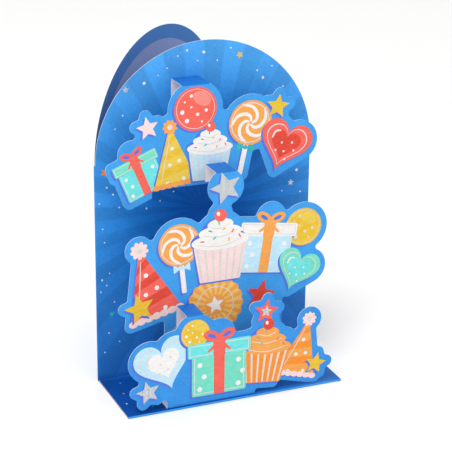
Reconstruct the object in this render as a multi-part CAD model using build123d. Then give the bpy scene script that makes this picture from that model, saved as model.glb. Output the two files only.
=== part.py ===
from build123d import *
import os
from collections import namedtuple
from math import cos, radians, sin

# Pop-up greeting card, in millimetres. While it is drawn, x runs along the front leaf from the spine
# fold, -y points to the viewer from the front leaf's printed face, and z is height above the table.

# Card stock and folds
THICKNESS = 0.4
FOLD_RADIUS = 0.35  # of a fold's middle line

# Card blank: rear leaf, spine, front leaf and base
CARD_WIDTH = 146.0
SPRING_HEIGHT = 146.0  # where the straight sides end and the arch begins
ARCH_INSET = 0.9  # the arch starts this far inside the spine fold
OPENING_ANGLE = 36.0  # between the two leaves, as the card stands
BASE_PLY_PITCH = 0.8  # from the middle of the lower ply to the middle of the upper one

# Pop-up tiers, each one step in front of the layer that it is glued to
TIER_STEP = 18.0
FRONT_LEDGE = 2.0  # base in front of the foremost tier
FOOT_LENGTH = 11.0  # glue flap on the base

# Die-cut outlines round the printed motifs
MARGIN = 4.0
NOTCH_CLOSING = 2.0  # radius left in the notches between motifs

Motif = namedtuple("Motif", "kind x z size turn")
Strut = namedtuple("Strut", "x width z flap")  # z is the printed side of the level fold

TOP_STRUT = Strut(x=59.5, width=18.0, z=196.5, flap=16.0)
TOP_FLOOR = Strut(x=50.0, width=38.0, z=132.0, flap=16.0)
TOP_MOTIFS = [
    Motif("gift", 22.5, 145.5, 34.0, 22.0),
    Motif("hat", 44.5, 154.5, 42.0, 6.0),
    Motif("disc", 59.5, 181.0, 28.0, 0.0),
    Motif("cupcake", 69.0, 153.5, 38.0, -2.0),
    Motif("lolly", 94.0, 159.0, 48.0, -12.0),
    Motif("heart", 119.0, 150.5, 38.0, -22.0),
    Motif("star", 28.5, 172.0, 15.0, 10.0),
    Motif("star", 114.5, 177.0, 16.0, -10.0),
]
TOP_FIELD_END = 86.0  # the plain panel behind the motifs runs from the floor's start to here
TOP_FIELD_TOP = 160.0

MIDDLE_STRUT = Strut(x=72.5, width=13.0, z=145.0, flap=11.5)
MIDDLE_MOTIFS = [
    Motif("hat", 21.0, 81.0, 52.0, 14.0),
    Motif("lolly", 43.0, 92.0, 46.0, 6.0),
    Motif("cupcake", 69.0, 98.0, 48.0, 0.0),
    Motif("disc", 72.5, 135.0, 16.0, 0.0),
    Motif("gift", 101.0, 96.0, 44.0, -8.0),
    Motif("disc", 125.5, 102.0, 25.0, 0.0),
    Motif("heart", 121.5, 73.0, 32.0, -24.0),
    Motif("star", 16.0, 63.0, 20.0, 14.0),
]
MIDDLE_FIELD_TOP = 100.0
MIDDLE_FOOT = (32.0, 112.0)

FRONT_STRUT = Strut(x=45.5, width=11.0, z=61.5, flap=22.0)
FRONT_MOTIFS = [
    Motif("heart", 25.5, 31.0, 40.0, 16.0),
    Motif("disc", 45.5, 49.0, 19.0, 0.0),
    Motif("gift", 61.5, 29.0, 48.0, 0.0),
    Motif("cupcake", 93.0, 30.0, 44.0, -6.0),
    Motif("hat", 118.5, 30.0, 43.0, -15.0),
    Motif("star", 14.5, 14.5, 16.0, 12.0),
    Motif("star", 93.0, 56.5, 17.0, -8.0),
    Motif("star", 128.0, 15.0, 15.0, -14.0),
]
FRONT_FIELD_TOP = 34.0
FRONT_FOOT = (27.0, 86.0)

# Derived sizes
FOLD_OUTSIDE = FOLD_RADIUS + THICKNESS / 2
BASE_TOP = BASE_PLY_PITCH + THICKNESS
LEAF_BOTTOM = BASE_TOP - THICKNESS / 2 + FOLD_RADIUS  # the front leaf is flat from here up
LEG = 5.0  # length of strip that a fold shares with the flat panel beyond it


# Printed motifs as plain silhouettes, each centred on its own middle, for a given overall height


def gift(size):
    box = Pos(0, -0.12 * size) * Rectangle(0.76 * size, 0.72 * size)
    lid = Pos(0, 0.17 * size) * Rectangle(0.88 * size, 0.2 * size)
    bow = Pos(0, 0.36 * size) * Circle(0.14 * size)
    return box + lid + bow


def hat(size):
    half_brim = 0.34 * size
    cone = Polygon((-half_brim, -0.5 * size), (half_brim, -0.5 * size), (0, 0.42 * size), align=None)
    return cone + Pos(0, 0.4 * size) * Circle(0.1 * size)


def cupcake(size):
    case = Pos(0, -0.24 * size) * Trapezoid(0.56 * size, 0.52 * size, 102.0)
    icing = Pos(0, 0.12 * size) * Circle(0.27 * size)
    lobes = [Pos(side * 0.24 * size, 0.06 * size) * Circle(0.2 * size) for side in (-1, 1)]
    cherry = Pos(0, 0.41 * size) * Circle(0.09 * size)
    return case + icing + lobes + cherry


def lolly(size):
    stick = Pos(0, -0.25 * size) * Rectangle(0.07 * size, 0.5 * size)
    return Pos(0, 0.2 * size) * Circle(0.3 * size) + stick


def heart(size):
    lobes = [Pos(side * 0.21 * size, 0.16 * size) * Circle(0.25 * size) for side in (-1, 1)]
    shoulder = (0.42 * size, 0.02 * size)
    point = Polygon((0, -0.45 * size), shoulder, (-shoulder[0], shoulder[1]), align=None)
    return point + lobes


def star(size):
    corners = []
    for i in range(10):
        reach = (0.5 if i % 2 == 0 else 0.24) * size
        corners.append((-reach * sin(radians(36 * i)), reach * cos(radians(36 * i))))
    return Polygon(*corners, align=None)


def disc(size):
    return Circle(size / 2)


SILHOUETTES = {
    "gift": gift,
    "hat": hat,
    "cupcake": cupcake,
    "lolly": lolly,
    "heart": heart,
    "star": star,
    "disc": disc,
}


# Flat outlines, drawn in x and z


def rectangle_between(x_low, z_low, x_high, z_high):
    middle = Pos((x_low + x_high) / 2, (z_low + z_high) / 2)
    return middle * Rectangle(x_high - x_low, z_high - z_low)


def die_cut_outline(motifs, field):
    """The sheet round its motifs: one margin everywhere, with the notches between motifs rounded out."""
    grown = [offset(field, NOTCH_CLOSING, kind=Kind.ARC)]
    for motif in motifs:
        silhouette = SILHOUETTES[motif.kind](motif.size)
        placed = Pos(motif.x, motif.z) * Rot(0, 0, motif.turn) * silhouette
        grown.append(offset(placed, MARGIN + NOTCH_CLOSING, kind=Kind.ARC))
    return offset(Sketch() + grown, -NOTCH_CLOSING, kind=Kind.ARC)


def above_strut(strut):
    """What the level fold at a strut's top cuts off the outline, right across the motif it hangs from."""
    reach = strut.width / 2 + MARGIN
    fold = strut.z - FOLD_OUTSIDE
    return rectangle_between(strut.x - reach, fold, strut.x + reach, fold + 2 * MARGIN)


def below_fold(x_low, x_high, z):
    return rectangle_between(x_low, z - TIER_STEP, x_high, z + FOLD_OUTSIDE)


# Flat and folded card


def upright(outline, y_front):
    """Flat card standing with its printed side at y_front, from an outline drawn in x and z."""
    return extrude(Plane(origin=(0, y_front, 0), x_dir=(1, 0, 0), z_dir=(0, -1, 0)) * outline, -THICKNESS)


def folded_strip(corners, across, width):
    """A strip of card bent round the middle line through the corners; across is along its width."""
    path = FilletPolyline(*corners, radius=FOLD_RADIUS)
    section = Plane(origin=path @ 0, x_dir=across, z_dir=path % 0) * Rectangle(width, THICKNESS)
    return sweep(section, path=path)


def crosswise_strip(x_low, x_high, profile):
    """A strip folded along lines that run in x; the profile is its middle line in y and z."""
    x_middle = (x_low + x_high) / 2
    return folded_strip([(x_middle, y, z) for y, z in profile], (1, 0, 0), x_high - x_low)


def card_sheet():
    arch_radius = (CARD_WIDTH - ARCH_INSET) / 2
    arch = Pos(CARD_WIDTH - arch_radius, SPRING_HEIGHT) * Circle(arch_radius)
    middle = THICKNESS / 2

    # The leaves: the rear one is drawn flat behind the front one, then swung open about the spine
    front = upright(rectangle_between(FOLD_OUTSIDE, LEAF_BOTTOM, CARD_WIDTH, SPRING_HEIGHT) + arch, 0)
    spine_x = FOLD_OUTSIDE
    spine_y = middle + FOLD_RADIUS
    rear_outline = rectangle_between(FOLD_OUTSIDE, 0, CARD_WIDTH, SPRING_HEIGHT) + arch
    rear = upright(rear_outline, spine_y + FOLD_RADIUS - middle)
    rear = rear.rotate(Axis((spine_x, spine_y, 0), (0, 0, 1)), OPENING_ANGLE)

    # The spine, from the base fold up to the arch
    half = radians(OPENING_ANGLE / 2)
    corner_x = spine_x - FOLD_RADIUS / sin(half) * cos(half)
    corner_z = (LEAF_BOTTOM + SPRING_HEIGHT) / 2
    reach = LEG + FOLD_RADIUS / sin(half)
    opening = radians(OPENING_ANGLE)
    spine = folded_strip(
        [
            (corner_x + reach * cos(opening), middle + reach * sin(opening), corner_z),
            (corner_x, middle, corner_z),
            (corner_x + reach, middle, corner_z),
        ],
        (0, 0, 1),
        SPRING_HEIGHT - LEAF_BOTTOM,
    )

    # The base: forward from the front leaf, round the front lip and back underneath
    lip = middle - TIER_STEP * 3 - FRONT_LEDGE
    upper = BASE_TOP - middle
    base = crosswise_strip(
        FOLD_OUTSIDE,
        CARD_WIDTH,
        [(middle, LEAF_BOTTOM + LEG), (middle, upper), (lip, upper), (lip, middle), (0, middle)],
    )
    return front + spine + rear + base


class Tier:
    """Where one tier's sheet stands: its printed face, and the printed face of the layer behind it."""

    def __init__(self, step):
        self.face = -TIER_STEP * step
        self.middle = self.face + THICKNESS / 2
        self.behind = self.face + TIER_STEP - THICKNESS / 2  # middle line of a flap glued back there

    def panel(self, outline):
        return upright(outline, self.face)

    def strut(self, strut):
        """Level strip from the top of the panel back to a flap that hangs down."""
        level = strut.z - THICKNESS / 2
        profile = [(self.middle, level - LEG), (self.middle, level), (self.behind, level)]
        profile.append((self.behind, strut.z - strut.flap))
        return crosswise_strip(strut.x - strut.width / 2, strut.x + strut.width / 2, profile)

    def floor(self, strut):
        """Level strip from the bottom of the panel back to a flap that stands up, out of sight."""
        level = strut.z + THICKNESS / 2
        profile = [(self.middle, level + LEG), (self.middle, level), (self.behind, level)]
        profile.append((self.behind, strut.z + strut.flap))
        return crosswise_strip(strut.x - strut.width / 2, strut.x + strut.width / 2, profile)

    def foot(self, x_low, x_high):
        """Glue flap turned back along the base."""
        level = BASE_TOP + THICKNESS / 2
        profile = [(self.middle, level + LEG), (self.middle, level), (self.middle + FOOT_LENGTH, level)]
        return crosswise_strip(x_low, x_high, profile)


def top_tier():
    tier = Tier(1)
    floor_low = TOP_FLOOR.x - TOP_FLOOR.width / 2
    floor_high = TOP_FLOOR.x + TOP_FLOOR.width / 2
    field = rectangle_between(floor_low, TOP_FLOOR.z, TOP_FIELD_END, TOP_FIELD_TOP)
    outline = die_cut_outline(TOP_MOTIFS, field)
    outline -= above_strut(TOP_STRUT) + below_fold(floor_low, floor_high, TOP_FLOOR.z)
    return tier.panel(outline) + tier.strut(TOP_STRUT) + tier.floor(TOP_FLOOR)


def middle_tier():
    tier = Tier(2)
    field = rectangle_between(MIDDLE_FOOT[0], BASE_TOP, MIDDLE_FOOT[1], MIDDLE_FIELD_TOP)
    outline = die_cut_outline(MIDDLE_MOTIFS, field)
    outline -= above_strut(MIDDLE_STRUT) + below_fold(0, CARD_WIDTH, BASE_TOP)
    return tier.panel(outline) + tier.strut(MIDDLE_STRUT) + tier.foot(*MIDDLE_FOOT)


def front_tier():
    tier = Tier(3)
    field = rectangle_between(FRONT_FOOT[0], BASE_TOP, FRONT_FOOT[1], FRONT_FIELD_TOP)
    outline = die_cut_outline(FRONT_MOTIFS, field)
    outline -= above_strut(FRONT_STRUT) + below_fold(0, CARD_WIDTH, BASE_TOP)
    return tier.panel(outline) + tier.strut(FRONT_STRUT) + tier.foot(*FRONT_FOOT)


# The row frame: origin on the table, at the middle of the whole card's box
nodes = {
    "card_sheet": card_sheet(),
    "top_tier": top_tier(),
    "middle_tier": middle_tier(),
    "front_tier": front_tier(),
}
box = Compound([sheet.solid() for sheet in nodes.values()]).bounding_box()
to_row = Pos(-box.center().X, -box.center().Y, -box.min.Z)

os.makedirs("parts", exist_ok=True)
for name, sheet in nodes.items():
    export_step(to_row * sheet.solid(), os.path.join("parts", name + ".step"))
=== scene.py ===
from math import atan2, cos, pi, radians, sin

import bpy
from mathutils import Matrix, Vector


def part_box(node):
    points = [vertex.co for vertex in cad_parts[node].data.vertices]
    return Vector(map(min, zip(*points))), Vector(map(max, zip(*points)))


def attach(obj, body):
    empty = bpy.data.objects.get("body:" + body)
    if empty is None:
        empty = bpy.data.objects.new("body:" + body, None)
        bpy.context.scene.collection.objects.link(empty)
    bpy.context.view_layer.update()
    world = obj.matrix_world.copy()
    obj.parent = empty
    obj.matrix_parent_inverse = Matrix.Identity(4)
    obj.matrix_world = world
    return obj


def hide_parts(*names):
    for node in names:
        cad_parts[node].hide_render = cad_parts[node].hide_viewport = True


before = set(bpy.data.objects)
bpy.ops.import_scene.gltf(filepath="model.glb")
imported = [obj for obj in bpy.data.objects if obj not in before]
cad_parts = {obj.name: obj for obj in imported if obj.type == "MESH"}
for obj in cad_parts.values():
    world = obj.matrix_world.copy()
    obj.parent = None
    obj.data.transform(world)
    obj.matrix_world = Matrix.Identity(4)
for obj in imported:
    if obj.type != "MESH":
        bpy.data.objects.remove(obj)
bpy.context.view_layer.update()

# A pop-up greeting card: the folded card sheet and three die-cut tiers, all printed. Metres, +Z up.
# Flat artwork is drawn in millimetres, x from the spine fold and z from the table, as the sheets are.

MM = 0.001
BODY = "root"
TIERS = ("top_tier", "middle_tier", "front_tier")

# Places read from the frame
SPINE_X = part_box("card_sheet")[0].x
LEAF_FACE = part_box("top_tier")[1].y  # the printed side of the front leaf
BASE_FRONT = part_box("card_sheet")[0].y
TIER_FACE = {tier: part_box(tier)[0].y for tier in TIERS}
BASE_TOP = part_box("front_tier")[0].z

# The sheets' own sizes, in millimetres
THICKNESS = 0.4
FOLD_RADIUS = 0.35
FOLD_OUTSIDE = FOLD_RADIUS + THICKNESS / 2
CARD_WIDTH = 146.0
SPRING_HEIGHT = 146.0
OPENING = radians(36.0)
TIER_STEP = 18.0
STRUTS = {  # x range of each tier's level fold, and its height
    "top_tier": (50.5, 68.5, 196.5),
    "middle_tier": (66.0, 79.0, 145.0),
    "front_tier": (40.0, 51.0, 61.5),
}

# Prints
BURST_CENTRE = (73.0, 110.0)
BURST_REACH = 115.0  # from the burst's middle to its palest blue
RAY_PAIRS = 24
BURST_STOPS = ((0.0, "0763C2"), (0.16, "0E72D0"), (0.36, "2084DC"), (0.62, "3A99EA"), (1.0, "52ABF4"))
CARD_WHITENESS = 0.84  # the most light that printed card gives back
PRINT_SHINE = 0.14  # specular level of print and card
PANEL_BORDER = 9.3  # width of the dark border round a leaf's inside panel


def flat_place(x, z):
    """Row x and z of a point of the artwork."""
    return SPINE_X + x * MM, z * MM


def srgb(code):
    """Linear colour of a print that has this six-digit sRGB code in full light."""
    parts = [int(code[i : i + 2], 16) / 255 for i in (0, 2, 4)]
    linear = [c / 12.92 if c <= 0.04045 else ((c + 0.055) / 1.055) ** 2.4 for c in parts]
    return tuple(c * CARD_WHITENESS for c in linear) + (1.0,)


# Camera, light and floor

CAMERA_TARGET = (88.02, 94.95)
CAMERA_ANGLES = (-23.005, 20.606, 0.619)  # azimuth, elevation and roll, in degrees
CAMERA_DISTANCE = 1.0461
CAMERA_LENS = 130.0
LIGHT_AIM = (0, 0, 0.1)
SKY_STRENGTH = 0.96
FLOOR_SIZE = 6.0
FLOOR_COLOUR = (0.89, 0.885, 0.88, 1)


def place_camera():
    azimuth, elevation, roll = (radians(angle) for angle in CAMERA_ANGLES)
    target = Vector((*flat_place(*CAMERA_TARGET), LEAF_FACE)).xzy
    turn = Matrix.Rotation(azimuth, 4, "Z") @ Matrix.Rotation(pi / 2 - elevation, 4, "X")
    turn = turn @ Matrix.Rotation(roll, 4, "Z")
    data = bpy.data.cameras.new("camera")
    data.lens = CAMERA_LENS
    data.sensor_width = 36.0
    data.clip_start = 0.05
    camera = bpy.data.objects.new("camera", data)
    bpy.context.scene.collection.objects.link(camera)
    camera.matrix_world = Matrix.Translation(target) @ turn @ Matrix.Translation((0, 0, CAMERA_DISTANCE))
    bpy.context.scene.camera = camera


def soft_light(name, place, size, power):
    """A square white lamp, aimed at the card."""
    data = bpy.data.lights.new(name, "AREA")
    data.shape = "SQUARE"
    data.size = size
    data.energy = power
    light = bpy.data.objects.new(name, data)
    bpy.context.scene.collection.objects.link(light)
    light.location = place
    light.rotation_euler = (Vector(LIGHT_AIM) - Vector(place)).to_track_quat("-Z", "Y").to_euler()


def light_studio():
    soft_light("key", (-0.75, -0.6, 1.6), 0.75, 15.5)
    soft_light("front_fill", (0.5, -1.9, 0.75), 1.6, 2.0)
    world = bpy.data.worlds.new("studio")
    world.use_nodes = True
    background = world.node_tree.nodes["Background"]
    background.inputs["Color"].default_value = (1, 1, 1, 1)
    background.inputs["Strength"].default_value = SKY_STRENGTH
    bpy.context.scene.world = world
    bpy.context.scene.view_settings.view_transform = "Standard"


def add_floor():
    bpy.ops.object.select_all(action="DESELECT")
    bpy.ops.mesh.primitive_plane_add(size=FLOOR_SIZE, location=(0, 0, 0))
    floor = bpy.context.object
    floor.name = "floor"
    shader = Shader("floor_paper", 0.6)
    shader.paint(FLOOR_COLOUR)
    floor.data.materials.append(shader.material)


# Shaders


class Value:
    """A socket in a shader. Arithmetic on it adds Math nodes."""

    def __init__(self, shader, socket):
        self.shader = shader
        self.socket = socket

    def math(self, operation, *others):
        inputs = {i: value for i, value in enumerate((self, *others))}
        return self.shader.node("ShaderNodeMath", {"operation": operation}, inputs)

    def __add__(self, other):
        return self.math("ADD", other)

    def __mul__(self, other):
        return self.math("MULTIPLY", other)

    def __sub__(self, other):
        return self.math("SUBTRACT", other)

    def __rsub__(self, other):
        return self.shader.node("ShaderNodeMath", {"operation": "SUBTRACT"}, {0: other, 1: self})

    def __truediv__(self, other):
        return self.math("DIVIDE", other)

    def minimum(self, other):
        return self.math("MINIMUM", other)

    def maximum(self, other):
        return self.math("MAXIMUM", other)

    def step(self, low, high):
        """0 below low, 1 above high, smooth between them."""
        return self.shader.node(
            "ShaderNodeMapRange",
            {"interpolation_type": "SMOOTHSTEP"},
            {"Value": self, "From Min": low, "From Max": high},
        )


class Shader:
    """A material on a Principled surface, with its patterns in the object's own coordinates."""

    def __init__(self, name, roughness, metallic=0.0):
        self.material = bpy.data.materials.new(name)
        self.material.use_nodes = True
        self.tree = self.material.node_tree
        self.surface = self.tree.nodes["Principled BSDF"]
        self.surface.inputs["Roughness"].default_value = roughness
        self.surface.inputs["Metallic"].default_value = metallic
        self.surface.inputs["Specular IOR Level"].default_value = 0.5 if metallic else PRINT_SHINE
        self.place = self.node("ShaderNodeTexCoord", output="Object")

    def node(self, kind, settings=None, inputs=None, output=0):
        made = self.tree.nodes.new(kind)
        for key, setting in (settings or {}).items():
            if key == "stops":
                self.set_stops(made.color_ramp, setting)
            else:
                setattr(made, key, setting)
        for key, value in (inputs or {}).items():
            self.feed(made.inputs[key], value)
        return Value(self, made.outputs[output])

    def feed(self, socket, value):
        if isinstance(value, Value):
            self.tree.links.new(value.socket, socket)
        else:
            socket.default_value = value

    def set_stops(self, ramp, stops):
        while len(ramp.elements) < len(stops):
            ramp.elements.new(1.0)
        for element, (place, colour) in zip(ramp.elements, stops):
            element.position = place
            element.color = colour

    def axes(self):
        """The object's own x, y and z, in metres."""
        parts = self.node("ShaderNodeSeparateXYZ", None, {0: self.place})
        nodes = parts.socket.node.outputs
        return [Value(self, nodes[axis]) for axis in "XYZ"]

    def noise(self, scale, detail, roughness=0.55, place=None):
        inputs = {"Vector": place or self.place, "Scale": scale, "Detail": detail, "Roughness": roughness}
        return self.node("ShaderNodeTexNoise", None, inputs)

    def stretched(self, scale, turn):
        """Coordinates for strokes that run across the flat artwork at the given turn."""
        inputs = {"Vector": self.place, "Rotation": (0, turn, 0), "Scale": scale}
        return self.node("ShaderNodeMapping", None, inputs)

    def mix(self, factor, low, high):
        return self.node("ShaderNodeMix", {"data_type": "RGBA"}, {0: factor, 6: low, 7: high}, output=2)

    def shade(self, colour, amount):
        """The colour times a grey amount."""
        return self.node(
            "ShaderNodeMix",
            {"data_type": "RGBA", "blend_type": "MULTIPLY"},
            {0: 1.0, 6: colour, 7: self.grey(amount)},
            output=2,
        )

    def grey(self, amount):
        return self.node("ShaderNodeCombineXYZ", None, {0: amount, 1: amount, 2: amount})

    def paint(self, colour):
        self.feed(self.surface.inputs["Base Color"], colour)

    def tooth(self, strength):
        """The fine tooth of uncoated card, as bump and as a slight change of gloss."""
        grain = self.noise(2600.0, 2.0)
        bump = self.node(
            "ShaderNodeBump", None, {"Strength": strength, "Distance": 0.00005, "Height": grain}
        )
        self.feed(self.surface.inputs["Normal"], bump)
        base = self.surface.inputs["Roughness"].default_value
        self.feed(self.surface.inputs["Roughness"], grain * 0.16 + (base - 0.08))


def mottled(shader, fine, amount):
    """Print on toothy card is never even: a factor near 1 with fine grain and soft clouds in it."""
    grain = shader.noise(fine, 5.0, 0.8)
    cloud = shader.noise(75.0, 4.0, 0.7)
    return grain * (3.2 * amount) + cloud * (1.8 * amount) + (1.0 - 2.5 * amount)


def ink(name, colour, accent, roughness=0.5, turn=0.9, amount=0.14):
    """Opaque gouache-like ink: flat colour with dry brush strokes of a second tone."""
    shader = Shader(name, roughness)
    strokes = shader.noise(420.0, 5.0, 0.75, shader.stretched((0.45, 1.0, 1.5), turn))
    colours = shader.mix(strokes.step(0.42, 0.72) * 0.7, srgb(colour), srgb(accent))
    streaks = shader.noise(1500.0, 3.0, 0.8, shader.stretched((0.16, 1.0, 1.0), turn + 0.35))
    shader.paint(shader.shade(colours, (streaks * 0.30 + 0.85) * mottled(shader, 1500.0, amount)))
    shader.tooth(0.10)
    return shader.material


def foil(name, colour):
    """Hot-stamped foil with the card's tooth showing through."""
    roughness = 0.28
    shader = Shader(name, roughness, 0.85)
    sparkle = shader.noise(2400.0, 3.0, 0.75)
    brushed = shader.noise(300.0, 3.0, 0.6, shader.stretched((1.0, 1.0, 0.18), 0.9))
    tone = sparkle.step(0.3, 0.7) * 0.75 + brushed * 0.5 + 0.25
    shader.paint(shader.shade(srgb(colour), tone))
    bump = shader.node("ShaderNodeBump", None, {"Strength": 0.5, "Distance": 0.00008, "Height": sparkle})
    shader.feed(shader.surface.inputs["Normal"], bump)
    shader.feed(shader.surface.inputs["Roughness"], brushed * 0.3 + roughness)
    return shader.material


def leaf_place(shader, along_rear):
    """A point's distance from the spine fold along its leaf, and its height, in millimetres."""
    x, y, z = shader.axes()
    from_spine = (x - SPINE_X) * (1 / MM)
    if along_rear:
        behind = (y - LEAF_FACE) * (1 / MM)
        return from_spine * cos(OPENING) + behind * sin(OPENING), z * (1 / MM)
    forward = (y - LEAF_FACE).minimum(0.0) * (1 / MM)
    return from_spine, z * (1 / MM) + forward


def burst_print(name, along_rear=False, depth=1.0):
    """Sunburst of blue rays round a dark middle; on the front leaf it runs on over the base.

    On the base, painted shade makes it deepest by the spine. A lower depth gives a deeper blue throughout.
    """
    shader = Shader(name, 0.5)
    across, up = leaf_place(shader, along_rear)
    across = across - BURST_CENTRE[0]
    up = up - BURST_CENTRE[1]
    radius = (across * across + up * up).math("SQRT")
    turn = up.math("ARCTAN2", across) * (RAY_PAIRS / (2 * pi)) + RAY_PAIRS
    within = turn.math("FRACT")
    lit = within.step(0.0, 0.06) - within.step(0.5, 0.56)
    ray = (turn * 2).math("FLOOR")
    which = shader.node("ShaderNodeTexWhiteNoise", {"noise_dimensions": "1D"}, {"W": ray})
    stops = [(place, srgb(code)) for place, code in BURST_STOPS]
    tone = shader.node("ShaderNodeValToRGB", {"stops": stops}, {0: radius / BURST_REACH})
    high = up.step(-125.0, 40.0)  # the burst is deeper toward the foot of the leaf
    blue = shader.mix(high * 0.85 + 0.15, srgb("0560BC"), tone)
    if not along_rear:
        # Painted shade: the base is darkened toward the spine fold.
        on_base = 1.0 - up.step(-114.0, -104.0)
        painted_spine_shade = 1.0 - across.step(-60.0, 45.0)
        blue = shader.mix(on_base * (painted_spine_shade * 0.8), blue, srgb("003C90"))
    rays = (lit * 0.14 + which * 0.07 + 0.89) * depth
    shader.paint(shader.shade(shader.shade(blue, rays), mottled(shader, 800.0, 0.2)))
    shader.tooth(0.14)
    return shader.material


def arch_depth(shader, x, z):
    """How far a point of a leaf lies inside the leaf's outline, in millimetres."""
    half = CARD_WIDTH / 2
    across = x - half
    straight = half - across.math("ABSOLUTE")
    up = (z - SPRING_HEIGHT).maximum(0.0)
    arched = half - (across * across + up * up).math("SQRT")
    return straight.minimum(arched).minimum(z)


def message_print(name, inset, border, along_rear):
    """Inside of a leaf: a deep blue border round a plain pale panel to write on."""
    shader = Shader(name, 0.55)
    from_spine, height = leaf_place(shader, along_rear)
    depth = arch_depth(shader, from_spine, height)
    # Painted shade: the border darkens toward the foot of the leaf, in the shade of the fold between the
    # leaves.
    lift = height.step(0.0, 215.0)  # the border is deepest at the foot of the leaf
    edge = shader.mix(lift, srgb("16307C"), srgb(border))
    panel = depth.step(PANEL_BORDER, PANEL_BORDER + 0.3)
    shader.paint(shader.shade(shader.mix(panel, edge, srgb(inset)), mottled(shader, 900.0, 0.08)))
    shader.tooth(0.14)
    return shader.material


def plain_print(name, colour, amount=0.10, roughness=0.5):
    shader = Shader(name, roughness)
    shader.paint(shader.shade(srgb(colour), mottled(shader, 900.0, amount)))
    shader.tooth(0.14)
    return shader.material


def make_materials():
    return {
        "burst": burst_print("sunburst_print"),
        "lip": plain_print("lip_print", "3D97EA"),
        "message": message_print("message_print", "8699CC", "3F7CC4", True),
        "inner_leaf": message_print("inner_leaf_print", "B4BBE0", "2F68B4", False),
        "back_cover": burst_print("back_cover_print", True, 0.82),
        "field": plain_print("sky_field_print", "42A1EC", 0.22),
        "front_field": plain_print("sky_field_front_print", "3A96E6", 0.22),
        "strut": plain_print("strut_print", "1F74CC", 0.14),
        "bare": plain_print("bare_card", "FAF3FA", 0.05, 0.62),
        "edge": plain_print("cut_edge", "F3EEE6", 0.12, 0.75),
        "tier_edge": plain_print("tier_cut_edge", "DCE6EE", 0.08, 0.75),
        "shadow": ink("indigo_ink", "5577DD", "6286E6"),
        "aqua": ink("aqua_ink", "6BE3E3", "8FF3EC"),
        "mint": ink("mint_ink", "74E0CE", "9BE9B0", turn=1.1),
        "yellow": ink("yellow_ink", "F0D058", "E6C23E"),
        "gold": ink("gold_ink", "EBC02E", "F4D768"),
        "pale_blue": ink("pale_blue_ink", "BCE6FA", "DDF5FE", turn=1.3),
        "orange": ink("orange_ink", "F7A54F", "F9B96C"),
        "deep_orange": ink("deep_orange_ink", "F8922E", "FBA850"),
        "amber": ink("amber_ink", "FAC764", "FDD68A"),
        "coral": ink("coral_ink", "F7665A", "FA7F70"),
        "rose": ink("rose_ink", "FA8E82", "FCA59A"),
        "red": ink("red_ink", "E2483A", "EC6148"),
        "pink": ink("pink_ink", "FBDAD9", "FDE8E4"),
        "white": ink("white_ink", "F2EFEC", "FFFFFF", amount=0.06),
        "line": ink("silver_line_ink", "E2DED9", "CFCBC6", 0.35, amount=0.10),
        "slate": ink("slate_blue_ink", "7FA6CE", "93B6DA"),
        "teal": ink("teal_ink", "2FB7B5", "4CCBC2"),
        "silver": foil("silver_foil", "D9DEE2"),
    }


# Sheets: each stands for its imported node, with one print or bare side to each face

FACING = 0.6  # a face of the card sheet is turned along an axis when its normal has this much of it


def spine_frame(centre):
    """A point's place along and behind the rear leaf, in millimetres from the spine's own axis."""
    x = (centre.x - SPINE_X) / MM - FOLD_OUTSIDE
    y = (centre.y - LEAF_FACE) / MM - FOLD_OUTSIDE
    return x * cos(OPENING) + y * sin(OPENING), y * cos(OPENING) - x * sin(OPENING)


def card_side(centre, normal):
    """The print of one face of the card sheet."""
    along, behind = spine_frame(centre)
    outward = normal.y * cos(OPENING) - normal.x * sin(OPENING)
    y = (centre.y - LEAF_FACE) / MM
    z = centre.z / MM
    if behind > 0 and along > 0:
        if abs(outward) < FACING:
            return "edge"
        return "back_cover" if outward > 0 else "message"
    if z < BASE_TOP / MM + FOLD_OUTSIDE + 0.2 and y < THICKNESS + 0.1:
        return base_side(y, z, normal)
    if along < 0 and behind > -0.2 and normal.z < 0.9:
        return "back_cover" if normal.x < 0 else "inner_leaf"
    if abs(normal.y) < FACING:
        return "edge" if normal.z > 0.9 or normal.x > -0.3 or z > SPRING_HEIGHT else "burst"
    return "burst" if normal.y < 0 else "inner_leaf"


def base_side(y, z, normal):
    """The print of one face of the base, its lip and its lower ply."""
    top = BASE_TOP / MM
    if abs(normal.x) > FACING:
        return "edge"
    if y < BASE_FRONT / MM - LEAF_FACE / MM + 0.6:
        return "lip" if normal.y < 0.05 else "inner_leaf"
    if z > top - 0.05:
        return "burst" if normal.z > 0.1 or normal.y < -0.1 else "inner_leaf"
    if z < 0.05:
        return "lip"
    return "edge" if normal.y > 0.9 and z < THICKNESS else "inner_leaf"


def tier_side(tier, field):
    """The rule for one tier's faces; field is the print behind its motifs."""
    low, high, top = STRUTS[tier]
    face = TIER_FACE[tier]

    def side(centre, normal):
        x = (centre.x - SPINE_X) / MM
        z = centre.z / MM
        y = (centre.y - face) / MM
        on_strut = low - 0.1 < x < high + 0.1 and z > top - FOLD_OUTSIDE - 0.05
        if on_strut and y < TIER_STEP + 1:
            if abs(normal.x) > 0.7:
                return "tier_edge"
            middle = TIER_STEP / 2
            inward = normal.z * (z - top + middle) + normal.y * (y - middle) < 0
            return "bare" if inward else "strut"
        if abs(normal.x) > 0.7:
            return "tier_edge"
        if y < THICKNESS + 0.05:
            if abs(normal.y) < 0.5:
                return "tier_edge"
            return field if normal.y < 0 else "bare"
        return "bare" if normal.y < 0 or normal.z > 0 else "strut"

    return side


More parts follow.
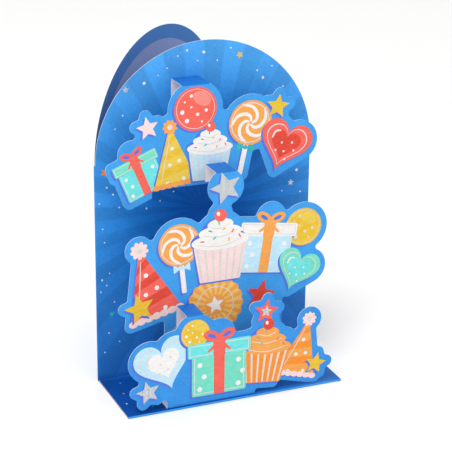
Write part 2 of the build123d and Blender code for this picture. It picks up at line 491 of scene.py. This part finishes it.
def merged_copy(node):
    """An object of its own with the node's mesh, its loose triangles merged and its flat faces whole."""
    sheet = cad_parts[node].copy()
    sheet.data = sheet.data.copy()
    sheet.name = node + "_card"
    sheet.parent = None
    bpy.context.scene.collection.objects.link(sheet)
    bpy.ops.object.select_all(action="DESELECT")
    bpy.context.view_layer.objects.active = sheet
    sheet.select_set(True)
    bpy.ops.object.mode_set(mode="EDIT")
    bpy.ops.mesh.select_all(action="SELECT")
    bpy.ops.mesh.remove_doubles(threshold=1e-6)
    bpy.ops.mesh.customdata_custom_splitnormals_clear()
    bpy.ops.object.mode_set(mode="OBJECT")
    bpy.ops.object.shade_smooth_by_angle(angle=radians(25))
    return sheet


def make_sheet(node, side, materials):
    sheet = merged_copy(node)
    sheet.data.materials.clear()
    used = []
    for face in sheet.data.polygons:
        name = side(face.center, face.normal)
        if name not in used:
            used.append(name)
            sheet.data.materials.append(materials[name])
        face.material_index = used.index(name)
    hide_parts(node)
    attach(sheet, BODY)
    return sheet


# Flat artwork: thin inked shapes that lie on the card, one layer over another


def ring_of(points):
    """A filled flat outline through the points, as the active object in edit mode, all selected."""
    bpy.ops.object.select_all(action="DESELECT")
    bpy.ops.mesh.primitive_circle_add(vertices=len(points), radius=1.0, fill_type="NGON")
    shape = bpy.context.object
    for vertex, (x, z) in zip(shape.data.vertices, points):
        vertex.co = (x, z, 0)
    bpy.ops.object.mode_set(mode="EDIT")
    bpy.ops.mesh.select_all(action="SELECT")
    return shape


def round_points(rx, rz=None, count=40):
    rz = rz or rx
    turns = [2 * pi * i / count for i in range(count)]
    return [(rx * cos(t), rz * sin(t)) for t in turns]


def box_points(width, height):
    x, z = width / 2, height / 2
    return [(-x, -z), (x, -z), (x, z), (-x, z)]


def star_points(radius):
    points = []
    for i in range(10):
        reach = radius if i % 2 == 0 else 0.46 * radius
        turn = pi / 2 + pi * i / 5
        points.append((reach * cos(turn), reach * sin(turn)))
    return points


def heart_points(size):
    count = 56
    points = []
    for i in range(count):
        t = -2 * pi * i / count
        x = 16 * sin(t) ** 3
        z = 13 * cos(t) - 5 * cos(2 * t) - 2 * cos(3 * t) - cos(4 * t) + 2.5
        points.append((x * size / 34, z * size / 34))
    return points


def scallop_points(radius, lobes, depth):
    count = 6 * lobes
    points = []
    for i in range(count):
        turn = 2 * pi * i / count
        bulge = abs(sin(lobes * turn / 2))
        reach = radius - depth + depth * bulge
        points.append((reach * cos(turn), reach * sin(turn)))
    return points


def smooth_line(points):
    """Points along a smooth curve that passes through the given ones."""
    steps = 7
    knots = [points[0], *points, points[-1]]
    line = []
    for a, b, c, d in zip(knots, knots[1:], knots[2:], knots[3:]):
        for i in range(steps):
            t = i / steps
            weights = (
                (-t + 2 * t**2 - t**3) / 2,
                (2 - 5 * t**2 + 3 * t**3) / 2,
                (t + 4 * t**2 - 3 * t**3) / 2,
                (t**3 - t**2) / 2,
            )
            weighed = list(zip(weights, (a, b, c, d)))
            line.append(tuple(sum(weight * knot[axis] for weight, knot in weighed) for axis in (0, 1)))
    return line + [points[-1]]


class Artwork:
    """Inked shapes on one upright face, gathered into a single piece."""

    LAYER = 0.01  # height of one layer above the next, in millimetres

    def __init__(self, name, face, materials, slot, lift=0):
        self.name = name
        self.face = face
        self.lift = lift  # layers already under this piece, where it overlaps its neighbours
        self.materials = materials
        self.slot = slot
        self.shapes = []
        self.x = self.z = self.turn = 0.0

    def move(self, x, z, turn=0.0):
        """Later shapes are drawn about this point, turned by this many degrees."""
        self.x, self.z, self.turn = x, z, radians(turn)
        return self

    def put(self, shape, colour, layer, dx=0.0, dz=0.0, turn=0.0):
        """Stands a finished flat shape on the face as a slab as thick as its layer is high."""
        depth = (self.lift + layer) * self.LAYER
        inner = Matrix.Translation((dx, dz, 0)) @ Matrix.Rotation(radians(turn), 4, "Z")
        outer = Matrix.Translation((self.x, self.z, 0)) @ Matrix.Rotation(self.turn, 4, "Z")
        upright = Matrix(((MM, 0, 0, SPINE_X), (0, 0, -MM, self.face), (0, MM, 0, 0), (0, 0, 0, 1)))
        bpy.ops.mesh.select_all(action="SELECT")
        bpy.ops.mesh.extrude_region_move(TRANSFORM_OT_translate={"value": (0, 0, depth)})
        bpy.ops.mesh.select_all(action="SELECT")
        bpy.ops.mesh.normals_make_consistent(inside=False)
        bpy.ops.object.mode_set(mode="OBJECT")
        shape.data.transform(upright @ outer @ inner)
        shape.data.materials.append(self.materials[colour])
        self.shapes.append(shape)

    def fill(self, points, colour, layer, dx=0.0, dz=0.0, turn=0.0, corner=0.0):
        shape = ring_of(points)
        if corner:
            bpy.ops.mesh.bevel(offset=corner, segments=4, affect="VERTICES")
        self.put(shape, colour, layer, dx, dz, turn)

    def outline(self, points, colour, layer, gap, width, dx=0.0, dz=0.0, turn=0.0):
        """A line of the given width that follows the outline at a gap inside it."""
        shape = ring_of(points)
        bpy.ops.mesh.inset(thickness=gap)
        bpy.ops.mesh.select_all(action="INVERT")
        bpy.ops.mesh.delete(type="FACE")
        bpy.ops.mesh.select_all(action="SELECT")
        bpy.ops.mesh.inset(thickness=width)
        bpy.ops.mesh.delete(type="FACE")
        self.put(shape, colour, layer, dx, dz, turn)

    def stroke(self, points, colour, layer, width):
        """A brush line through the points, smooth along its length and thin at both ends."""
        line = smooth_line(points)
        left, right = [], []
        for i, (x, z) in enumerate(line):
            before, after = line[max(0, i - 1)], line[min(len(line) - 1, i + 1)]
            turn = atan2(after[1] - before[1], after[0] - before[0])
            half = width * (0.16 + 0.34 * sin(pi * i / (len(line) - 1)) ** 0.5)
            left.append((x - half * sin(turn), z + half * cos(turn)))
            right.append((x + half * sin(turn), z - half * cos(turn)))
        self.fill(right + left[::-1], colour, layer)

    def finish(self):
        bpy.ops.object.select_all(action="DESELECT")
        for shape in self.shapes:
            shape.select_set(True)
        bpy.context.view_layer.objects.active = self.shapes[0]
        if len(self.shapes) > 1:
            bpy.ops.object.join()
        piece = bpy.context.object
        piece.name = self.name
        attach(piece, BODY)
        return piece


# Motifs: each is drawn about its own middle at a size s, in millimetres, and moved to its place


def base_parts(kind, s):
    """The plain shapes that make up a motif's silhouette, for its drop shadow."""
    parts = {
        "gift": [
            (box_points(0.76 * s, 0.72 * s), 0, -0.12 * s),
            (box_points(0.88 * s, 0.2 * s), 0, 0.17 * s),
        ],
        "hat": [([(-0.34 * s, -0.5 * s), (0.34 * s, -0.5 * s), (0, 0.42 * s)], 0, 0)],
        "cupcake": [
            ([(-0.28 * s, -0.5 * s), (0.28 * s, -0.5 * s), (0.36 * s, 0), (-0.36 * s, 0)], 0, 0),
            (round_points(0.39 * s, 0.17 * s), 0, 0.08 * s),
            (round_points(0.24 * s, 0.2 * s), 0, 0.2 * s),
        ],
        "lolly": [(round_points(0.3 * s), 0, 0.2 * s), (box_points(0.07 * s, 0.5 * s), 0, -0.25 * s)],
        "heart": [(heart_points(s), 0, 0)],
        "star": [(star_points(0.5 * s), 0, 0)],
        "disc": [(round_points(0.5 * s), 0, 0)],
    }
    return parts[kind]


def draw_shadow(art, kind, s):
    """The printed drop shadow under a motif; its parts lie at slightly different heights."""
    corner = 0.03 * s if kind in ("gift", "hat") else 0
    for number, (points, dx, dz) in enumerate(base_parts(kind, s)):
        art.fill(points, "shadow", 1 + 0.2 * number, dx, dz, corner=corner)


def draw_gift(art, s, colours):
    """A dotted box with a lid, a ribbon and a bow."""
    box, lid, ribbon = colours
    art.fill(box_points(0.76 * s, 0.72 * s), box, 2, 0, -0.12 * s, corner=0.03 * s)
    for column in range(3):
        for row in range(3):
            x = (-0.27 + 0.27 * column + 0.06 * (row % 2)) * s
            if 0.13 * s <= abs(x) <= 0.33 * s:
                art.fill(round_points(0.035 * s, count=14), "white", 3, x, (-0.38 + 0.17 * row) * s)
    art.outline(box_points(0.70 * s, 0.66 * s), "line", 3.1, 0.01 * s, 0.012 * s, 0, -0.12 * s)
    art.fill(box_points(0.15 * s, 0.72 * s), ribbon, 4, 0, -0.12 * s)
    art.fill(box_points(0.88 * s, 0.2 * s), lid, 4.4, 0, 0.17 * s, corner=0.03 * s)
    art.outline(box_points(0.83 * s, 0.15 * s), "line", 5, 0.01 * s, 0.012 * s, 0, 0.17 * s)
    art.fill(box_points(0.17 * s, 0.2 * s), ribbon, 5.4, 0, 0.17 * s)
    for side in (-1, 1):
        turn = 28 * side
        loop = round_points(0.13 * s, 0.075 * s)
        hole = round_points(0.065 * s, 0.028 * s, 20)
        tail = [(side * x * s, z * s) for x, z in ((0.03, 0.30), (0.08, 0.2), (0.16, 0.13))]
        art.fill(loop, ribbon, 6 + 0.1 * side, side * 0.1 * s, 0.345 * s, turn)
        art.fill(hole, "shadow", 6.5, side * 0.105 * s, 0.35 * s, turn)
        art.stroke(tail, ribbon, 6.8 + 0.1 * side, 0.04 * s)
    art.fill(round_points(0.05 * s, 0.045 * s, 20), ribbon, 7.2, 0, 0.30 * s)


def cone_band(s, low, high, slant):
    """A slanting band across the party hat's cone, between two heights from 0 to 1."""
    corners = ((-1, low), (1, low + slant), (1, high + slant), (-1, high))
    return [(0.34 * side * s * (1 - up), (-0.5 + 0.92 * up) * s) for side, up in corners]


def draw_hat(art, s, colours):
    """A striped party hat with a frill and a pompom."""
    cone, stripe, trim = colours
    art.fill([(-0.34 * s, -0.5 * s), (0.34 * s, -0.5 * s), (0, 0.42 * s)], cone, 2, corner=0.02 * s)
    for low, high in ((0.14, 0.27), (0.42, 0.53), (0.66, 0.75)):
        art.fill(cone_band(s, low, high, 0.1), stripe, 3)
    for x, up in ((-0.12, 0.06), (0.13, 0.09), (-0.06, 0.36), (0.09, 0.40), (0.0, 0.62)):
        art.fill(round_points(0.028 * s, count=14), "white", 3.4, x * s, (-0.5 + 0.92 * up) * s)
    frill = round_points(0.06 * s, 0.045 * s, 18)
    for i in range(7):
        art.fill(frill, trim, 4 + 0.1 * (i % 2), (i - 3) * 0.1 * s, -0.48 * s)
    seam = [(-0.22 * s, -0.40 * s), (-0.12 * s, -0.08 * s), (-0.02 * s, 0.26 * s)]
    art.stroke(seam, "line", 4.3, 0.014 * s)
    art.fill(scallop_points(0.115 * s, 9, 0.03 * s), trim, 5, 0, 0.4 * s)
    art.fill(round_points(0.04 * s, count=16), "line", 5.5, 0, 0.4 * s)


def draw_cupcake(art, s, colours):
    """A pleated paper case, three swirls of icing with sprinkles, and a cherry."""
    wrapper, icing, cherry = colours
    bottom, top = 0.28 * s, 0.37 * s
    case = [(-bottom, -0.5 * s), (bottom, -0.5 * s), (top, 0), (-top, 0)]
    art.fill(case, wrapper, 2, corner=0.015 * s)
    for i in range(7):
        low, high = (i - 3) / 3.4 * bottom, (i - 3) / 3.4 * top
        foot, head = 0.012 * s, 0.018 * s
        pleat = [(low - foot, -0.49 * s), (low + foot, -0.49 * s), (high + head, 0), (high - head, 0)]
        art.fill(pleat, "line", 3)
    swirls = ((0.40, 0.05, 0.115), (0.30, 0.17, 0.10), (0.18, 0.275, 0.085))
    for row, (half, z, tall) in enumerate(swirls):
        art.fill(round_points(half * s, tall * s), icing, 4 + 0.6 * row, 0, z * s)
        ends = 0.8 * half * s
        arc = [(-ends, (z - 0.02) * s), (0, (z - tall * 0.62) * s), (ends, (z + 0.01) * s)]
        art.stroke(arc, "line", 4.4 + 0.6 * row, 0.014 * s)
    sprinkles = (
        (-0.25, 0.07), (-0.08, 0.1), (0.12, 0.06), (0.27, 0.09),
        (-0.14, 0.2), (0.05, 0.21), (0.17, 0.17), (-0.02, 0.3),
    )
    for i, (x, z) in enumerate(sprinkles):
        tint = ("coral", "teal", "gold")[i % 3]
        art.fill(box_points(0.055 * s, 0.02 * s), tint, 6, x * s, z * s, 40 * i, corner=0.008 * s)
    art.fill(round_points(0.085 * s, count=24), cherry, 6.2, 0, 0.4 * s)
    art.fill(round_points(0.022 * s, 0.03 * s, 14), "white", 6.8, -0.03 * s, 0.425 * s, 20)


def draw_lolly(art, s, colours):
    """A round lolly with five swirling arms, on a stick with a small bow."""
    sweet, swirl, bow = colours
    art.fill(box_points(0.07 * s, 0.5 * s), "white", 2, 0, -0.25 * s, corner=0.02 * s)
    art.fill(round_points(0.3 * s, count=48), sweet, 2.4, 0, 0.2 * s)
    for arm in range(5):
        turns = [(arm / 5 * 2 * pi + 0.55 * k, 0.02 + 0.064 * k) for k in range(5)]
        art.stroke([(r * s * cos(t), (0.2 + r * sin(t)) * s) for t, r in turns], swirl, 3, 0.045 * s)
    art.outline(round_points(0.27 * s, count=40), "line", 3.6, 0.005 * s, 0.014 * s, 0, 0.2 * s)
    for side in (-1, 1):
        wing = [(0, 0), (side * 0.12 * s, 0.06 * s), (side * 0.12 * s, -0.06 * s)]
        art.fill(wing if side < 0 else wing[::-1], bow, 4, 0, -0.13 * s, corner=0.01 * s)
    art.fill(round_points(0.03 * s, count=16), bow, 4.6, 0, -0.13 * s)


def draw_heart(art, s, colours):
    """A heart with a light line inside its edge, a paler middle, dots and a glint."""
    body, light, glint = colours
    art.fill(heart_points(s), body, 2)
    art.fill(heart_points(0.81 * s), "line", 2.5, 0, 0.005 * s)
    art.fill(heart_points(0.77 * s), body, 3, 0, 0.005 * s)
    art.fill(heart_points(0.58 * s), light, 3.3, 0, 0.01 * s)
    art.stroke([(-0.26 * s, 0.08 * s), (-0.24 * s, 0.2 * s), (-0.15 * s, 0.24 * s)], glint, 4.2, 0.035 * s)
    for x, z in ((0.12, 0.1), (0.2, -0.02), (0.03, -0.08), (0.1, -0.2), (-0.06, 0.05), (-0.12, -0.1)):
        art.fill(round_points(0.02 * s, count=14), glint, 4, x * s, z * s)


def draw_star(art, s, colours):
    """A plain star, with a smaller one on it where there is a second ink."""
    body, centre = colours
    art.fill(star_points(0.5 * s), body, 2)
    if centre:
        art.fill(star_points(0.24 * s), centre, 3)


def draw_rosette(art, s, colours):
    """A pleated paper fan, alternate pleats in two tones, with a star at its middle."""
    body, fold, centre = colours
    folds = 18
    r = s / 2
    art.fill(scallop_points(r, folds, 0.03 * s), body, 2)
    half = pi * r / folds * 0.48
    pleat = [(0.18 * r, -0.1 * half), (0.93 * r, -half), (0.93 * r, half), (0.18 * r, 0.1 * half)]
    for i in range(folds):
        art.fill(pleat, fold, 2.6, turn=360 * i / folds)
    art.outline(round_points(0.66 * r, count=40), "line", 3.2, 0.003 * s, 0.016 * s)
    art.fill(round_points(0.36 * r, count=32), body, 3.6)
    art.fill(star_points(0.33 * r), centre, 4.2)


def draw_ball(art, s, colours):
    """A plain round ball with dots and a soft glint."""
    body, light, dots = colours
    r = s / 2
    art.fill(round_points(r, count=56), body, 2)
    art.fill(round_points(0.45 * r, 0.3 * r), light, 2.6, 0.3 * r, 0.45 * r, -30)
    places = (
        (-0.5, 0.35), (-0.2, 0.6), (-0.62, -0.1), (-0.2, 0.1),
        (0.1, -0.25), (-0.4, -0.5), (0.3, -0.6), (0.5, -0.1),
    )
    for i, (x, z) in enumerate(places):
        art.fill(round_points((0.05 + 0.025 * (i % 3)) * r, count=16), dots, 3.2, x * r, z * r)
    art.outline(round_points(0.9 * r, count=48), "line", 3, 0.002 * s, 0.012 * s)


DRAWINGS = {
    "gift": draw_gift,
    "hat": draw_hat,
    "cupcake": draw_cupcake,
    "lolly": draw_lolly,
    "heart": draw_heart,
    "star": draw_star,
    "rosette": draw_rosette,
    "ball": draw_ball,
}

# kind, x, z, height, turn in degrees, how many motifs deep it overlaps, inks
MOTIFS = {
    "top_tier": [
        ("star", 28.5, 172, 15, 10, 0, ("pink", None)),
        ("gift", 22.5, 145.5, 34, 22, 0, ("aqua", "mint", "coral")),
        ("ball", 59.5, 181, 28, 0, 0, ("coral", "rose", "white")),
        ("hat", 44.5, 154.5, 42, 6, 1, ("yellow", "gold", "orange")),
        ("cupcake", 69, 153.5, 38, -2, 2, ("pale_blue", "white", "coral")),
        ("lolly", 94, 159, 48, -12, 1, ("orange", "white", "teal")),
        ("heart", 119, 150.5, 38, -22, 2, ("coral", "red", "pink")),
        ("star", 114.5, 177, 16, -10, 0, ("gold", None)),
    ],
    "middle_tier": [
        ("rosette", 66, 58, 38, 8, 0, ("orange", "amber", "white")),
        ("star", 97, 60, 21, -14, 0, ("red", None)),
        ("ball", 45, 39, 21, 0, 1, ("slate", "pale_blue", "line")),
        ("hat", 21, 81, 52, 14, 0, ("coral", "red", "pink")),
        ("lolly", 43, 92, 46, 6, 1, ("orange", "white", "pale_blue")),
        ("cupcake", 69, 98, 48, 0, 2, ("pink", "white", "coral")),
        ("star", 72.5, 134.5, 21.5, 16, 0, ("silver", None)),
        ("gift", 101, 96, 44, -8, 1, ("pale_blue", "white", "orange")),
        ("ball", 125.5, 102, 25, 0, 0, ("gold", "yellow", "line")),
        ("heart", 121.5, 73, 32, -24, 2, ("mint", "aqua", "white")),
        ("star", 16, 63, 20, 14, 1, ("gold", None)),
    ],
    "front_tier": [
        ("heart", 25.5, 31, 40, 16, 0, ("pale_blue", "white", "line")),
        ("ball", 45.5, 49, 19, 0, 1, ("gold", "yellow", "white")),
        ("gift", 61.5, 29, 48, 0, 2, ("mint", "aqua", "coral")),
        ("star", 93, 56.5, 17, -8, 0, ("coral", "silver")),
        ("cupcake", 93, 30, 44, -6, 1, ("deep_orange", "orange", "red")),
        ("hat", 118.5, 30, 43, -15, 0, ("orange", "deep_orange", "pink")),
        ("star", 14.5, 14.5, 16, 12, 1, ("silver", None)),
        ("star", 128, 15, 15, -14, 1, ("gold", None)),
    ],
}
MOTIF_LAYERS = 7.5  # a motif's own layers, which the next one up stands clear of
SHADOW_SHIFT = (-1.25, -1.05)  # from a motif to its printed drop shadow


def print_tier(tier, materials):
    """A piece for each motif of the tier, over its printed drop shadow."""
    for number, (kind, x, z, size, turn, overlap, inks) in enumerate(MOTIFS[tier], 1):
        lift = overlap * MOTIF_LAYERS
        art = Artwork(f"{tier}_{kind}_{number}", TIER_FACE[tier], materials, "tier_card", lift)
        outline = "disc" if kind in ("rosette", "ball") else kind
        art.move(x + SHADOW_SHIFT[0], z + SHADOW_SHIFT[1], turn)
        draw_shadow(art, outline, size)
        art.move(x, z, turn)
        DRAWINGS[kind](art, size, inks)
        art.finish()


# Confetti on the front leaf: x, z, size and ink of each star, and x, z and size of each white dot.
# On the base, y runs back from the printed face of the leaf: x, y, size and ink of each dot.
DOT_DEPTH = 0.00004
DOT_ROUNDING = 0.00001
LEAF_STARS = [
    (21, 192, 4.8, "silver"), (96, 207, 5.2, "gold"), (104, 203, 3.0, "teal"), (7, 141, 6.4, "deep_orange"),
    (133, 119, 4.6, "silver"), (10, 46, 4.2, "teal"), (139, 96, 4.4, "gold"),
]
LEAF_DOTS = [
    (33, 195, 1.9), (55, 210, 0.9), (61, 213, 1.4), (68, 206, 0.9), (72, 211, 1.9), (48, 203, 0.9),
    (81, 205, 1.0), (108, 196, 1.2), (112, 191, 1.8), (118, 198, 0.9), (90, 212, 1.0), (126, 184, 1.1),
    (137, 127, 1.9), (130, 129, 1.0), (140, 112, 1.2), (127, 114, 0.9), (8, 131, 1.1), (12, 126, 1.3),
    (3, 121, 1.0), (16, 117, 1.0), (24, 120, 0.9), (34, 114, 1.2), (43, 118, 1.0), (52, 123, 1.1),
    (6, 95, 0.9), (4, 70, 1.2), (7, 66, 1.0), (3, 62, 1.0), (9, 74, 0.8), (12, 54, 0.9), (8, 33, 1.0),
    (14, 168, 0.9), (19, 176, 1.1), (42, 199, 0.8), (5, 104, 0.9), (5, 20, 0.9), (15, 26, 0.8),
]
BASE_DOTS = [
    (12, -9, 1.4, "teal"), (9, -24, 1.1, "orange"), (139, -30, 1.3, "white"), (137, -46, 1.0, "white"),
    (6, -38, 1.1, "white"), (20, -47, 1.3, "teal"), (12, -50, 1.0, "pink"), (133, -18, 1.1, "orange"),
]


def print_confetti(materials):
    """The stars and dots on the front leaf as one piece, and those on the base as another."""
    art = Artwork("front_leaf_confetti", LEAF_FACE, materials, "printed_card")
    for x, z, size, colour in LEAF_STARS:
        art.move(x, z, 7 * x)
        art.fill(star_points(size / 2), colour, 2)
    for x, z, size in LEAF_DOTS:
        art.move(x, z, 40 * z)
        art.fill(round_points(size * 0.55, size * 0.45, 12), "white", 2)
    art.finish()
    scatter_on_base(materials)


def scatter_on_base(materials):
    """The dots on top of the base, joined into one piece."""
    dots = []
    for x, y, size, colour in BASE_DOTS:
        bpy.ops.object.select_all(action="DESELECT")
        place = (SPINE_X + x * MM, LEAF_FACE + y * MM, BASE_TOP)
        radius = size * MM / 2
        bpy.ops.mesh.primitive_cylinder_add(vertices=14, radius=radius, depth=DOT_DEPTH, location=place)
        bpy.ops.object.mode_set(mode="EDIT")
        bpy.ops.mesh.select_all(action="SELECT")
        bpy.ops.mesh.bevel(offset=DOT_ROUNDING, segments=1)
        bpy.ops.object.mode_set(mode="OBJECT")
        dots.append(bpy.context.object)
        dots[-1].data.materials.append(materials[colour])
    for dot in dots:
        dot.select_set(True)
    bpy.context.view_layer.objects.active = dots[0]
    bpy.ops.object.join()
    bpy.ops.object.transform_apply()
    piece = bpy.context.object
    piece.name = "base_confetti"
    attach(piece, BODY)


place_camera()
light_studio()
materials = make_materials()

make_sheet("card_sheet", card_side, materials)
for tier in TIERS:
    field = "front_field" if tier == "front_tier" else "field"
    make_sheet(tier, tier_side(tier, field), materials)
    print_tier(tier, materials)
print_confetti(materials)

add_floor()
